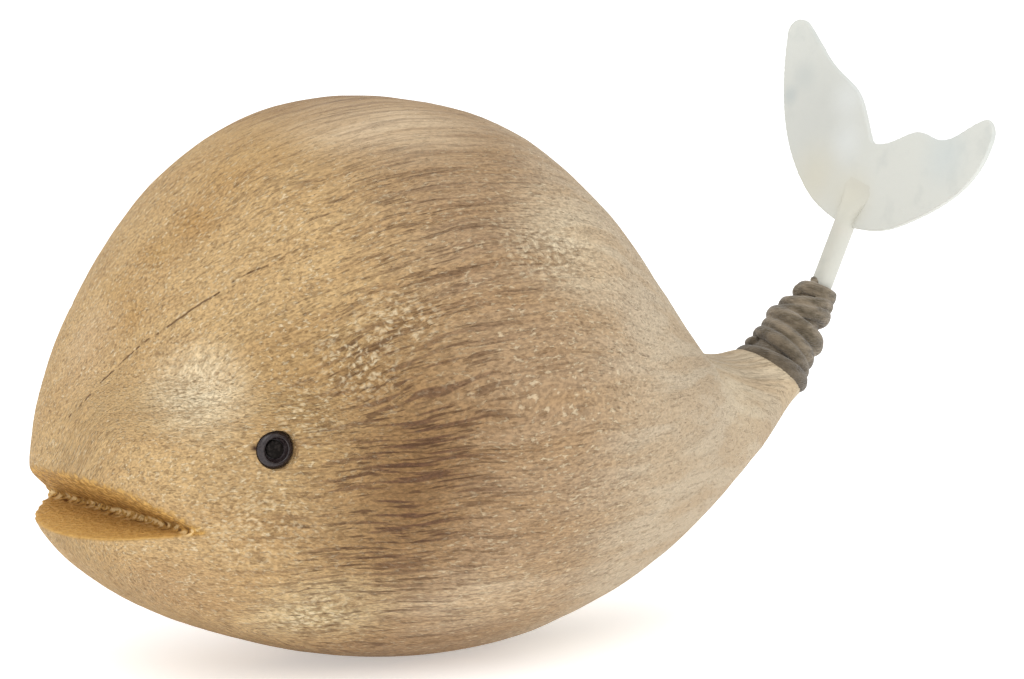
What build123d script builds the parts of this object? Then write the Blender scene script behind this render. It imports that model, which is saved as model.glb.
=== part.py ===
from build123d import *
from math import cos, pi, radians, sin, sqrt, tan
import os

# Whale figurine: a carved wooden body, two black bead eyes held by pins, and a tail made of
# a bent metal rod with a sheet fluke, bound to the wooden tail stub with thick cord.
# Millimetres and degrees. The nose points to -X, up is +Z, the whale's left side is -Y.
# The origin is the centre of the small flat sanded under the belly, which it rests on.

# Body
body_length = 180.0
body_height = 110.0
body_width = 110.0
nose_reach = 78.0  # how far the nose stands ahead of the middle of the resting flat

# Where the back, the belly and the flank run, from nose to tail: shares of body_length,
# body_height and half of body_width. The wood between them is rasped in narrow bands.
nose_up_share = 0.30
section_shares = [
    # back along, back up, belly along, belly up, half width
    (0.011, 0.375, 0.011, 0.262, 0.22),
    (0.042, 0.556, 0.042, 0.208, 0.41),
    (0.100, 0.733, 0.100, 0.142, 0.60),
    (0.189, 0.893, 0.189, 0.078, 0.79),
    (0.311, 0.991, 0.311, 0.018, 0.96),
    (0.444, 0.992, 0.444, -0.006, 1.00),
    (0.567, 0.922, 0.578, 0.016, 0.89),
    (0.678, 0.744, 0.711, 0.091, 0.69),
    (0.778, 0.550, 0.833, 0.200, 0.44),
    (0.852, 0.478, 0.922, 0.284, 0.235),
    (0.895, 0.468, 0.961, 0.338, 0.160),
]

bands_per_row = 3
section_points = 12

# Mouth: one straight notch filed across the front
mouth_depth = 15.0
mouth_up_share = 0.31
mouth_upper_slope = 33.0  # its upper face above the horizontal
mouth_lower_slope = 9.5  # its lower face below the horizontal

# Tail stub, a round taper that carries the rod and the winding
stub_angle = 49.8  # rise above the horizontal
stub_root_along_share = 0.9544
stub_root_up_share = 0.4236
stub_shoulder_diameter = 15.8  # the wood just below the winding
stub_root_diameter = 11.2  # the neck that the cord is wound on
stub_tip_diameter = 6.4
stub_length = 13.0

# Tail rod
rod_diameter = 4.5
rod_clearance = 0.05  # glue gap around the rod in its bore
rod_bore_depth = 12.0
rod_bend_reach = 8.4  # from the stub's tip to the corner of the bend
rod_bend_radius = 4.5
rod_rise_height = 24.2  # from the corner of the bend to the rod's upper end
rod_angle = 76.1  # rise above the horizontal, seen from the side
rod_lean = 14.6  # lean of the rod and fluke to the whale's left
tongue_length = 10.0  # the half-round end that the fluke is brazed to
tongue_tip_thickness = 0.5
braze_gap = 0.05  # the film of solder between the tongue and the fluke

# Fluke, cut from sheet and bent a little forward at its tips
fluke_width = 69.0
fluke_height = 34.0
fluke_thickness = 1.2
fluke_bend_radius = 320.0
fluke_step_gap = 0.2  # between the fluke's lower edge and the step of the tongue
# Outline of each lobe from the foot out to the tip and back in to the notch, as shares of
# half the span and of the height. The two are cut freehand, so they differ a little.
fluke_outer_shares = {
    "left": [
        (0.14, 0.024),
        (0.33, 0.093),
        (0.502, 0.207),
        (0.724, 0.399),
        (0.890, 0.614),
        (0.938, 0.745),
        (0.946, 0.869),
    ],
    "right": [
        (0.15, 0.006),
        (0.330, 0.043),
        (0.477, 0.114),
        (0.685, 0.283),
        (0.855, 0.525),
        (0.964, 0.768),
        (1.008, 0.904),
    ],
}
fluke_tip_shares = {"left": (0.918, 0.962), "right": (0.958, 1.013)}
fluke_inner_shares = {
    "left": [
        (0.845, 0.998),
        (0.701, 0.884),
        (0.565, 0.770),
        (0.445, 0.739),
        (0.329, 0.734),
        (0.183, 0.645),
    ],
    "right": [
        (0.897, 1.018),
        (0.715, 0.923),
        (0.580, 0.855),
        (0.410, 0.808),
        (0.290, 0.766),
        (0.205, 0.699),
        (0.119, 0.612),
    ],
}
fluke_notch_share = (-0.043, 0.535)
fluke_notch_radius = 1.6

# Winding: one cord, wound from the foot of the stub up onto the rod
cord_diameter = 2.8
cord_turns = 5
cord_clearance = 0.15  # between the cord and what it is wound on
winding_start_height = 1.9  # from the stub's root to the first turn, along the stub
winding_height = 17.8  # from the first turn to the last, along the stub
cord_sides = 6
spans_per_turn = 2
sample_steps = 6

# Eyes: a turned bead in a drilled seat, held by a pin with a flat round head
eye_back_distance = 49.1  # from the nose to where the two eye axes meet, along the body
eye_up_share = 0.459
eye_yaw = 33.0  # how far each eye looks forward from straight sideways
bead_diameter = 7.3
bead_thickness = 2.6
bead_rim_radius = 1.1
bead_rim_flats = 3
bead_recess_diameter = 4.7
bead_recess_depth = 0.9
bead_proud_height = 1.5  # how far the bead stands out of the wood
seat_clearance = 0.05
pin_head_diameter = 4.3
pin_head_thickness = 0.6
pin_head_edge_width = 0.2
pin_shank_diameter = 1.4
pin_length = 12.0
pin_point_length = 1.8
pin_clearance = 0.05

overrun = 5.0  # how far every cutter runs past what it cuts

os.makedirs("parts", exist_ok=True)


# Places that several pieces share
def along(share):
    return share * body_length - nose_reach


def up(share):
    return share * body_height


nose = Vector(-nose_reach, 0, up(nose_up_share))
stub_axis = Vector(cos(radians(stub_angle)), 0, sin(radians(stub_angle)))
stub_root = Vector(along(stub_root_along_share), 0, up(stub_root_up_share))
stub_tip = stub_root + stub_axis * stub_length
rod_foot = stub_tip - stub_axis * rod_bore_depth
rod_corner = stub_tip + stub_axis * rod_bend_reach
rod_axis = Vector(
    cos(radians(rod_angle)),
    -sin(radians(rod_angle)) * sin(radians(rod_lean)),
    sin(radians(rod_angle)) * cos(radians(rod_lean)),
)
rod_top = rod_corner + rod_axis * rod_rise_height
across = Vector(0, -cos(radians(rod_lean)), -sin(radians(rod_lean)))
forward = across.cross(rod_axis)


# Body
def section(back, belly, half_width):
    """Oval between a point on the back and one on the belly, drawn from the back round."""
    middle = (back + belly) / 2
    half = (back - belly) / 2
    points = []
    for i in range(section_points):
        turn = 2 * pi * i / section_points
        points.append(middle + half * cos(turn) + Vector(0, half_width * sin(turn), 0))
    return make_face(Spline(points, periodic=True))


def body_sections():
    """Ovals from just behind the nose to the stub's shoulder, evenly spread between the rows."""
    stub_normal = Vector(-stub_axis.Z, 0, stub_axis.X) * stub_shoulder_diameter / 2
    backs = [nose]
    bellies = [nose]
    flanks = [nose]
    for back_along, back_up, belly_along, belly_up, width_share in section_shares:
        backs.append(Vector(along(back_along), 0, up(back_up)))
        bellies.append(Vector(along(belly_along), 0, up(belly_up)))
        flanks.append((backs[-1] + bellies[-1]) / 2 + Vector(0, width_share * body_width / 2, 0))
    backs.append(stub_root + stub_normal)
    bellies.append(stub_root - stub_normal)
    flanks.append(stub_root + Vector(0, stub_shoulder_diameter / 2, 0))
    rows = len(backs) - 1
    places = [row / rows for row in range(rows + 1)]
    lines = [Edge.make_spline(points, parameters=places) for points in (backs, bellies, flanks)]
    back_line, belly_line, flank_line = lines
    bands = rows * bands_per_row
    sections = []
    for band in range(1, bands + 1):
        share = band / bands
        sections.append(section(back_line @ share, belly_line @ share, (flank_line @ share).Y))
    return sections


def mouth_notch():
    apex = Vector(mouth_depth - nose_reach, 0, up(mouth_up_share))
    reach = mouth_depth + overrun
    profile = Plane.XZ * Polyline(
        (apex.X, apex.Z),
        (apex.X - reach, apex.Z + reach * tan(radians(mouth_upper_slope))),
        (apex.X - reach, apex.Z - reach * tan(radians(mouth_lower_slope))),
        close=True,
    )
    return extrude(make_face(profile), amount=body_width / 2, both=True)


def eye_axis(side):
    return Vector(-sin(radians(eye_yaw)), side * cos(radians(eye_yaw)), 0)


def eye_plane(side):
    """Plane on the floor of the bead's seat, facing out of the head."""
    outward = eye_axis(side)
    centre = Vector(eye_back_distance - nose_reach, 0, up(eye_up_share))
    hits = blank.find_intersection_points(Axis(centre, outward))
    surface = max((point for point, normal in hits), key=lambda point: (point - centre).dot(outward))
    floor = surface + outward * (bead_proud_height - bead_thickness)
    return Plane(origin=floor, x_dir=(0, 0, 1), z_dir=outward)


blank = loft([Vertex(*nose)] + body_sections(), ruled=True)
eyes = {"left": eye_plane(-1), "right": eye_plane(1)}

stub_plane = Plane(origin=stub_root, x_dir=(stub_axis.Z, 0, -stub_axis.X), z_dir=stub_axis)
bore_plane = stub_plane.offset(stub_length - rod_bore_depth)
above = (Align.CENTER, Align.CENTER, Align.MIN)
below = (Align.CENTER, Align.CENTER, Align.MAX)

neck = Cone(stub_root_diameter / 2, stub_tip_diameter / 2, stub_length, align=above)
bore = Cylinder(rod_diameter / 2 + rod_clearance, rod_bore_depth + overrun, align=above)
body = blank + Location(stub_plane) * neck
body -= Location(bore_plane) * bore
body -= mouth_notch()
body -= Box(2 * body_length, 2 * body_width, body_height, align=below)

seat = Cylinder(bead_diameter / 2 + seat_clearance, bead_thickness + overrun, align=above)
pilot_depth = pin_length + pin_clearance
pilot = Cylinder(pin_shank_diameter / 2 + pin_clearance, pilot_depth + overrun, align=below)
for plane in eyes.values():
    body -= Location(plane) * seat
    body -= Location(plane) * Pos(0, 0, overrun) * pilot

# Fluke: the outline is extruded through a slab that is bent about the rod
fluke_foot = rod_top - rod_axis * (tongue_length - fluke_step_gap)
fluke_plane = Plane(origin=fluke_foot, x_dir=across, z_dir=forward)


def fluke_points(shares, side):
    return [(side * out * fluke_width / 2, rise * fluke_height) for out, rise in shares]


def fluke_outline():
    left_outer = fluke_points(fluke_outer_shares["left"], 1)
    right_outer = fluke_points(fluke_outer_shares["right"], -1)
    edges = [Spline(left_outer[::-1] + [(0, 0)] + right_outer)]
    foot_of_notch = fluke_points([fluke_notch_share], 1)
    for name, side, outer in (("left", 1, left_outer), ("right", -1, right_outer)):
        tip = fluke_points([fluke_tip_shares[name]], side)[0]
        inner = fluke_points(fluke_inner_shares[name], side) + foot_of_notch
        edges += [ThreePointArc(outer[-1], tip, inner[0]), Spline(inner)]
    outline = make_face(edges)
    notch = outline.vertices().sort_by_distance(Vector(*inner[-1]))[0]
    return fillet(notch, fluke_notch_radius)


def bent_slab(thickness):
    """Slab behind the bend's front surface, a little taller than the fluke."""
    half = fluke_width / 2 + overrun
    rise = half * half / (2 * fluke_bend_radius)
    front = ThreePointArc((-half, rise), (0, 0), (half, rise))
    back = ThreePointArc((half, rise - thickness), (0, -thickness), (-half, rise - thickness))
    ends = [Line(front @ 1, back @ 0), Line(back @ 1, front @ 0)]
    foot = Plane(origin=(0, -overrun, 0), x_dir=(1, 0, 0), z_dir=(0, -1, 0))
    return extrude(foot * make_face([front, back] + ends), amount=-(fluke_height + 2 * overrun))


outline_block = extrude(fluke_outline(), amount=fluke_width / 4, both=True)
fluke = Location(fluke_plane) * (outline_block & bent_slab(fluke_thickness))

# Rod: straight in the stub, one bend, then straight up; its end is filed to a half-round tongue
rod_path = FilletPolyline(rod_foot, rod_corner, rod_top, radius=rod_bend_radius)
rod = sweep(bore_plane * Circle(rod_diameter / 2), path=rod_path)
rod_cut = Location(fluke_plane) * Pos(0, overrun - fluke_step_gap, braze_gap) * bent_slab(rod_diameter)
rod -= rod_cut
taper = Plane.YZ * Polyline(
    (0, rod_diameter / 2),
    (tongue_length + overrun, tongue_tip_thickness),
    (tongue_length + overrun, rod_diameter),
    (0, rod_diameter),
    close=True,
)
rod -= Location(fluke_plane) * extrude(make_face(taper), amount=rod_diameter, both=True)


# Winding
cord_radius = cord_diameter / 2


def stub_radius_at(distance):
    share = distance / stub_length
    return stub_root_diameter / 2 + (stub_tip_diameter - stub_root_diameter) / 2 * share


wind_low = stub_radius_at(winding_start_height) + cord_clearance + cord_radius
wind_high = rod_diameter / 2 + cord_clearance + cord_radius


def wind_point(turns):
    """Place and direction of the cord's middle after a number of turns."""
    share = turns / cord_turns
    radius = wind_low + (wind_high - wind_low) * share
    angle = 2 * pi * turns
    local = Vector(radius * cos(angle), -radius * sin(angle), winding_start_height + winding_height * share)
    growth = (wind_high - wind_low) / cord_turns
    heading = Vector(
        growth * cos(angle) - 2 * pi * radius * sin(angle),
        -growth * sin(angle) - 2 * pi * radius * cos(angle),
        winding_height / cord_turns,
    )
    return local, heading.normalized()


def biarc(start, start_heading, end, end_heading):
    """Two tangent arcs from one point and direction to another."""
    chord = end - start
    headings = start_heading + end_heading
    a = 2 * (start_heading.dot(end_heading) - 1)
    b = -2 * chord.dot(headings)
    reach = (-b - sqrt(b * b - 4 * a * chord.dot(chord))) / (2 * a)
    before = start + start_heading * reach
    after = end - end_heading * reach
    joint = (before + after) / 2
    return [
        TangentArc(start, joint, tangent=start_heading),
        TangentArc(joint, end, tangent=after - before),
    ]


def cord_path():
    count = cord_turns * spans_per_turn
    points = [wind_point(i / spans_per_turn) for i in range(count + 1)]
    first, first_heading = points[0]
    last, last_heading = points[-1]
    edges = [Line(first - first_heading * cord_diameter, first)]
    for (start, start_heading), (end, end_heading) in zip(points, points[1:]):
        edges += biarc(start, start_heading, end, end_heading)
    edges.append(Line(last, last + last_heading * cord_diameter))
    return edges


path_edges = cord_path()
start_plane = Plane(origin=path_edges[0] @ 0, x_dir=(0, 0, 1), z_dir=path_edges[0] % 0)
cord_section = start_plane * RegularPolygon(cord_radius, cord_sides)
cord = sweep(cord_section, path=Wire(path_edges))
binding = Location(stub_plane) * cord

samples = [edge @ (step / sample_steps) for edge in path_edges for step in range(sample_steps)]
per_turn = 2 * spans_per_turn * sample_steps
gaps = []
for i, point in enumerate(samples):
    for other in samples[i + per_turn // 2:]:
        gaps.append((point - other).length - cord_diameter)
print("least gap of the cord to itself", round(min(gaps), 2))
print("cord length", round(sum(edge.length for edge in path_edges), 1), "volume", round(cord.volume, 1))

# Eyes
bead_radius = bead_diameter / 2
recess_radius = bead_recess_diameter / 2
shank_radius = pin_shank_diameter / 2
bead_bore_radius = shank_radius + pin_clearance
recess_floor = bead_thickness - bead_recess_depth


def bead():
    corners = [(bead_bore_radius, 0), (bead_radius, 0)]
    for i in range(bead_rim_flats + 1):
        turn = pi / 2 * i / bead_rim_flats
        out = bead_radius - bead_rim_radius * (1 - cos(turn))
        rise = bead_thickness - bead_rim_radius * (1 - sin(turn))
        corners.append((out, rise))
    corners += [
        (recess_radius, bead_thickness),
        (recess_radius, recess_floor),
        (bead_bore_radius, recess_floor),
    ]
    return revolve(Plane.XZ * make_face(Polyline(corners, close=True)), Axis.Z)


def pin():
    head_radius = pin_head_diameter / 2
    head_top = recess_floor + pin_head_thickness
    corners = [
        (0, head_top),
        (head_radius - pin_head_edge_width, head_top),
        (head_radius, head_top - pin_head_edge_width),
        (head_radius, recess_floor),
        (shank_radius, recess_floor),
        (shank_radius, pin_point_length - pin_length),
        (0, -pin_length),
    ]
    return revolve(Plane.XZ * make_face(Polyline(corners, close=True)), Axis.Z)


nodes = {
    "body": body,
    "tail_rod": rod,
    "tail_fluke": fluke,
    "tail_binding": binding,
}
for name, plane in eyes.items():
    nodes[name + "_eye_bead"] = Location(plane) * bead()
    nodes[name + "_eye_pin"] = Location(plane) * pin()

for name, shape in nodes.items():
    export_step(shape, "parts/" + name + ".step")
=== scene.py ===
import math

import bpy
import numpy as np
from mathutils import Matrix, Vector, noise


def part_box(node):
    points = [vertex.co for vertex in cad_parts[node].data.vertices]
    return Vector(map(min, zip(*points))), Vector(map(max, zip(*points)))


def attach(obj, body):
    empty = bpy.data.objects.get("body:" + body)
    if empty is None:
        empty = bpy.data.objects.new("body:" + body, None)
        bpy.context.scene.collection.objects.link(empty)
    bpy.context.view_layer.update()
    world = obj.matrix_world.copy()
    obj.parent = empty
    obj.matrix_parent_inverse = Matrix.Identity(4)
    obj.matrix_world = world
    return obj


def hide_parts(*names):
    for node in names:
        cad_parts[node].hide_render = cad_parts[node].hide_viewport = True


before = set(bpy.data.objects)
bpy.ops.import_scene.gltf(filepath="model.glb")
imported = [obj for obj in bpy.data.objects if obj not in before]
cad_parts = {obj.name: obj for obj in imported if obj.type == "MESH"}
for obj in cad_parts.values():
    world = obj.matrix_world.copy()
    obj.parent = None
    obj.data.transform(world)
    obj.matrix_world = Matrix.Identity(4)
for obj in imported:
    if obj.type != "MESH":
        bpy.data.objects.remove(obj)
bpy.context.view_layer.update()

# Studio
# A white sweep under the figurine, a bright white room all round it and one large soft lamp
# high in front of the nose. The camera is far off and looks a little down at the left side.
view_azimuth = math.radians(-36)
view_elevation = math.radians(8.5)
view_distance = 1.0
view_target = Vector((0.028, 0.0, 0.0592))
camera_lens = 175.8

view_back = Vector((
    math.sin(view_azimuth) * math.cos(view_elevation),
    -math.cos(view_azimuth) * math.cos(view_elevation),
    math.sin(view_elevation),
))
camera_data = bpy.data.cameras.new("camera")
camera_data.sensor_width = 36
camera_data.lens = camera_lens
camera = bpy.data.objects.new("camera", camera_data)
camera.location = view_target + view_back * view_distance
camera.rotation_mode = "QUATERNION"
camera.rotation_quaternion = (-view_back).to_track_quat("-Z", "Y")
bpy.context.scene.collection.objects.link(camera)
bpy.context.scene.camera = camera
bpy.context.scene.view_settings.view_transform = "Standard"


def tint(red, green, blue):
    """Linear colour from the red, green and blue of a screen colour, 0 to 255."""
    screen = [channel / 255 for channel in (red, green, blue)]
    return [c / 12.92 if c < 0.04045 else ((c + 0.055) / 1.055) ** 2.4 for c in screen] + [1.0]


def put(tree, kind, settings=None, sockets=None):
    """Shader node whose sockets take values or the outputs of other nodes."""
    made = tree.nodes.new(kind)
    for name, value in (settings or {}).items():
        setattr(made, name, value)
    for name, value in (sockets or {}).items():
        if isinstance(value, bpy.types.NodeSocket):
            tree.links.new(value, made.inputs[name])
        else:
            made.inputs[name].default_value = value
    return made


def new_material(name):
    """Material with only its output; gives the material, its tree and the output node."""
    material = bpy.data.materials.new(name)
    material.use_nodes = True
    tree = material.node_tree
    tree.nodes.clear()
    return material, tree, tree.nodes.new("ShaderNodeOutputMaterial")


def soft_lamp(name, direction, distance, size, power):
    """Square lamp that faces the figurine."""
    lamp_data = bpy.data.lights.new(name, "AREA")
    lamp_data.size = size
    lamp_data.energy = power
    lamp = bpy.data.objects.new(name, lamp_data)
    lamp.location = view_target + Vector(direction).normalized() * distance
    lamp.rotation_mode = "QUATERNION"
    lamp.rotation_quaternion = (view_target - lamp.location).to_track_quat("-Z", "Y")
    bpy.context.scene.collection.objects.link(lamp)


room = bpy.data.worlds.new("room")
room.use_nodes = True
room.node_tree.nodes["Background"].inputs["Color"].default_value = (1.0, 1.0, 1.0, 1.0)
room.node_tree.nodes["Background"].inputs["Strength"].default_value = 1.08
bpy.context.scene.world = room
soft_lamp("front_lamp", direction=(-0.75, -0.75, 0.85), distance=1.1, size=0.6, power=3.0)

floor_half = 6.0
floor_mesh = bpy.data.meshes.new("floor")
floor_corners = [(-1, -1), (1, -1), (1, 1), (-1, 1)]
floor_mesh.from_pydata([(x * floor_half, y * floor_half, 0) for x, y in floor_corners], [], [(0, 1, 2, 3)])
floor = bpy.data.objects.new("floor", floor_mesh)
bpy.context.scene.collection.objects.link(floor)
sweep, tree, output = new_material("white_sweep")
paper = put(tree, "ShaderNodeBsdfPrincipled", {}, {
    "Base Color": (0.96, 0.96, 0.96, 1.0), "Roughness": 0.9, "Specular IOR Level": 0.1,
    "Emission Color": (1.0, 1.0, 1.0, 1.0), "Emission Strength": 0.38,
})
tree.links.new(paper.outputs["BSDF"], output.inputs["Surface"])
floor_mesh.materials.append(sweep)

# Body
# One block of light open-pored wood, rasped to a fat drop, with the mouth filed as one straight
# notch across the front, two drilled seats for the eyes and a neck that the tail is tied to.
mm = 0.001
body_length = 0.180
body_height = 0.110
body_width = 0.110
nose_reach = 0.078
nose_up_share = 0.30
blank_shares = [
    # back along, back up, belly along, belly up and half width, as shares of the body's sizes
    (0.011, 0.375, 0.011, 0.262, 0.22),
    (0.042, 0.556, 0.042, 0.208, 0.41),
    (0.100, 0.733, 0.100, 0.142, 0.60),
    (0.189, 0.893, 0.189, 0.078, 0.79),
    (0.311, 0.991, 0.311, 0.018, 0.96),
    (0.444, 0.992, 0.444, -0.006, 1.00),
    (0.567, 0.922, 0.578, 0.016, 0.89),
    (0.678, 0.744, 0.711, 0.091, 0.69),
    (0.778, 0.550, 0.833, 0.200, 0.44),
    (0.852, 0.478, 0.922, 0.284, 0.235),
    (0.895, 0.468, 0.961, 0.338, 0.160),
]
stub_angle = math.radians(49.8)
stub_along_share = 0.9544
stub_up_share = 0.4236
stub_shoulder_diameter = 0.0158
neck_diameter = 0.0112
neck_tip_diameter = 0.0064
neck_length = 0.013
body_sides = 200
rows_between_ovals = 18
mouth_depth = 0.015
mouth_up_share = 0.31
mouth_upper_slope = math.radians(33)
mouth_lower_slope = math.radians(9.5)
file_past_nose = 0.010
sander_length = 0.4
sander_width = 0.2
sander_height = 0.05
skin_voxel = 0.00045
eye_yaw = math.radians(33)
bead_thickness = 0.0026
bead_cant = math.radians(-22)
bead_shift = -0.0004
seat_diameter = 0.0075
seat_sides = 72
seat_clearance = 0.0001
seat_lift = -0.00035
drill_length = 0.02
torn_zones = [
    # middle and reach in millimetres of the places where the rasp tore the grain, strength
    ((-62, -24, 59), (13, 17, 14), 0.8),
    ((-48, -38, 57), (11, 14, 9), 0.7),
    ((-38, -42, 66), (12, 14, 10), 1.0),
    ((-30, -45, 73), (12, 14, 10), 0.8),
    ((-54, -32, 36), (18, 18, 16), 0.6),
    ((-38, -26, 15), (14, 20, 10), 1.0),
    ((3, -47, 84), (17, 16, 9), 0.8),
    ((-24, 40, 60), (40, 40, 30), 0.8),
]

stub_root = Vector((stub_along_share * body_length - nose_reach, 0.0, stub_up_share * body_height))
stub_axis = Vector((math.cos(stub_angle), 0, math.sin(stub_angle)))
neck_tip = stub_root + stub_axis * neck_length
mouth_apex = Vector((mouth_depth - nose_reach, 0, mouth_up_share * body_height))


def smooth_line(points, steps):
    """Points on the smooth curve through the given ones, with some steps between each two."""
    points = np.array(points, float)
    last = len(points) - 1
    system = np.eye(len(points)) * 4
    right = np.zeros_like(points)
    for i in range(1, last):
        system[i, i - 1] = system[i, i + 1] = 1
        right[i] = 3 * (points[i + 1] - points[i - 1])
    # Each end runs on in the direction of the cubic curve through its four nearest points
    system[0, 0] = system[last, last] = 1
    lead = np.array([-11, 18, -9, 2]) / 6
    right[0] = lead @ points[:4]
    right[last] = -lead @ points[::-1][:4]
    slopes = np.linalg.solve(system, right)
    line = []
    for i in range(last):
        for t in np.arange(steps) / steps:
            line.append(
                points[i] * (1 + 2 * t) * (1 - t) ** 2 + slopes[i] * t * (1 - t) ** 2
                + points[i + 1] * t * t * (3 - 2 * t) + slopes[i + 1] * t * t * (t - 1)
            )
    return np.array(line + [points[last]])


def new_piece(name, corners, faces):
    """Object from a list of corners and faces, linked to the scene."""
    mesh = bpy.data.meshes.new(name)
    mesh.from_pydata([tuple(corner) for corner in corners], [], [tuple(face) for face in faces])
    piece = bpy.data.objects.new(name, mesh)
    bpy.context.scene.collection.objects.link(piece)
    return piece


def tube_faces(rings, sides):
    """Faces of an open tube of rings."""
    faces = []
    for ring in range(rings - 1):
        for side in range(sides):
            after = (side + 1) % sides
            low, high = ring * sides, (ring + 1) * sides
            faces.append((low + side, low + after, high + after, high + side))
    return faces


def closed_tube_faces(rings, sides):
    """Faces of a tube of rings, with one corner more at each end."""
    faces = tube_faces(rings, sides)
    start, end = rings * sides, rings * sides + 1
    for side in range(sides):
        after = (side + 1) % sides
        faces.append((start, after, side))
        faces.append((end, (rings - 1) * sides + side, (rings - 1) * sides + after))
    return faces


def blank_rings(sides, rows):
    """Nose of the rasped blank, and its ovals back to the tip of the neck as rings of corners."""
    def at_shares(along, rise):
        return (along * body_length - nose_reach, 0.0, rise * body_height)

    nose = at_shares(0, nose_up_share)
    backs, bellies, widths = [nose], [nose], [(0.0,)]
    for back_along, back_up, belly_along, belly_up, width_share in blank_shares:
        backs.append(at_shares(back_along, back_up))
        bellies.append(at_shares(belly_along, belly_up))
        widths.append((width_share * body_width / 2,))
    stub_normal = Vector((-stub_axis.z, 0, stub_axis.x)) * stub_shoulder_diameter / 2
    backs.append(tuple(stub_root + stub_normal))
    bellies.append(tuple(stub_root - stub_normal))
    widths.append((stub_shoulder_diameter / 2,))
    back_line, belly_line, width_line = [smooth_line(line, rows) for line in (backs, bellies, widths)]
    turns = np.arange(sides) * 2 * math.pi / sides
    rings = []
    for back, belly, (half_width,) in zip(back_line[1:], belly_line[1:], width_line[1:]):
        ring = (back + belly) / 2 + np.outer(np.cos(turns), (back - belly) / 2)
        ring[:, 1] += half_width * np.sin(turns)
        rings.append(ring)
    shoulder = rings[-1] - np.array(stub_root)
    for diameter, rise in ((neck_diameter, 0.0), (neck_tip_diameter, neck_length)):
        rings.append(np.array(stub_root + stub_axis * rise) + shoulder * diameter / stub_shoulder_diameter)
    return back_line[0], rings


def cut(piece, cutter):
    """Takes the cutter's space out of the piece, and the cutter out of the scene."""
    saw = piece.modifiers.new("saw", "BOOLEAN")
    saw.operation = "DIFFERENCE"
    saw.solver = "EXACT"
    saw.object = cutter
    settle(piece)
    bpy.data.objects.remove(cutter)


def settle(piece):
    """Turns the piece's modifiers into mesh."""
    graph = bpy.context.evaluated_depsgraph_get()
    mesh = bpy.data.meshes.new_from_object(piece.evaluated_get(graph))
    piece.modifiers.clear()
    piece.data = mesh


def reskin(piece, voxel):
    """Gives the piece one closed skin of even small faces."""
    skin = piece.modifiers.new("skin", "REMESH")
    skin.mode = "VOXEL"
    skin.voxel_size = voxel
    settle(piece)


def read_points(mesh, what="co"):
    """Places of a mesh's points, or their normals, as rows of numbers."""
    flat = np.zeros(len(mesh.vertices) * 3, np.float32)
    mesh.vertices.foreach_get(what, flat)
    return flat.reshape(-1, 3).astype(float)


def write_points(mesh, points):
    """Moves a mesh's points to new places."""
    mesh.vertices.foreach_set("co", points.astype(np.float32).ravel())
    mesh.update()


def sand(mesh, rounds, pull=0.5, back=0.52, share=1.0):
    """Softens edges: each point moves towards the middle of its neighbours and part way back."""
    flat = np.zeros(len(mesh.edges) * 2, np.int32)
    mesh.edges.foreach_get("vertices", flat)
    starts, ends = flat.reshape(-1, 2).T
    points = read_points(mesh)
    count = len(points)
    shares = np.bincount(starts, minlength=count) + np.bincount(ends, minlength=count)
    for step in [pull, -back] * rounds:
        sums = np.stack([
            np.bincount(starts, points[ends, axis], count) + np.bincount(ends, points[starts, axis], count)
            for axis in range(3)
        ], 1)
        points += step * np.reshape(share, (-1, 1)) * (sums / shares[:, None] - points)
    write_points(mesh, points)


def smoothstep(low, high, value):
    """Share that rises smoothly from 0 to 1 between a low and a high value."""
    share = np.clip((value - low) / (high - low), 0, 1)
    return share * share * (3 - 2 * share)


def ripple(points, scales):
    """Smooth noise from about -1 to 1 at points in millimetres, stretched by the scales."""
    stretched = points / np.array(scales)
    return np.array([noise.noise(Vector(place)) for place in stretched])


nose_tip, rings = blank_rings(body_sides, rows_between_ovals)
corners = np.concatenate(rings + [[nose_tip], [neck_tip]])
body = new_piece("carved_body", corners, closed_tube_faces(len(rings), body_sides))
file_reach = mouth_depth + file_past_nose
wedge_profile = [
    (mouth_apex.x, mouth_apex.z),
    (mouth_apex.x - file_reach, mouth_apex.z + file_reach * math.tan(mouth_upper_slope)),
    (mouth_apex.x - file_reach, mouth_apex.z - file_reach * math.tan(mouth_lower_slope)),
]
wedge = new_piece(
    "file",
    [(x, side * body_width, z) for side in (-1, 1) for x, z in wedge_profile],
    [(0, 1, 2), (5, 4, 3), (0, 3, 4, 1), (1, 4, 5, 2), (2, 5, 3, 0)],
)
cut(body, wedge)
sander_ends = (-sander_length / 2, sander_length / 2)
sander_edges = (-sander_width / 2, sander_width / 2)
sander = new_piece(
    "sander",
    [(x, y, z) for x in sander_ends for y in sander_edges for z in (-sander_height, 0.0)],
    [(0, 1, 3, 2), (4, 6, 7, 5), (0, 4, 5, 1), (2, 3, 7, 6), (0, 2, 6, 4), (1, 5, 7, 3)],
)
cut(body, sander)
reskin(body, skin_voxel)
sand(body.data, rounds=5)

# The upper lip is rubbed round
places = read_points(body.data) / mm
run = mouth_apex.x / mm - places[:, 0]
over = places[:, 2] - mouth_apex.z / mm - run * math.tan(mouth_upper_slope)
lip = smoothstep(1.0, 4.0, run) * (1 - smoothstep(1.5, 4.0, np.abs(over)))
sand(body.data, rounds=30, back=0.0, share=lip)

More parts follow.
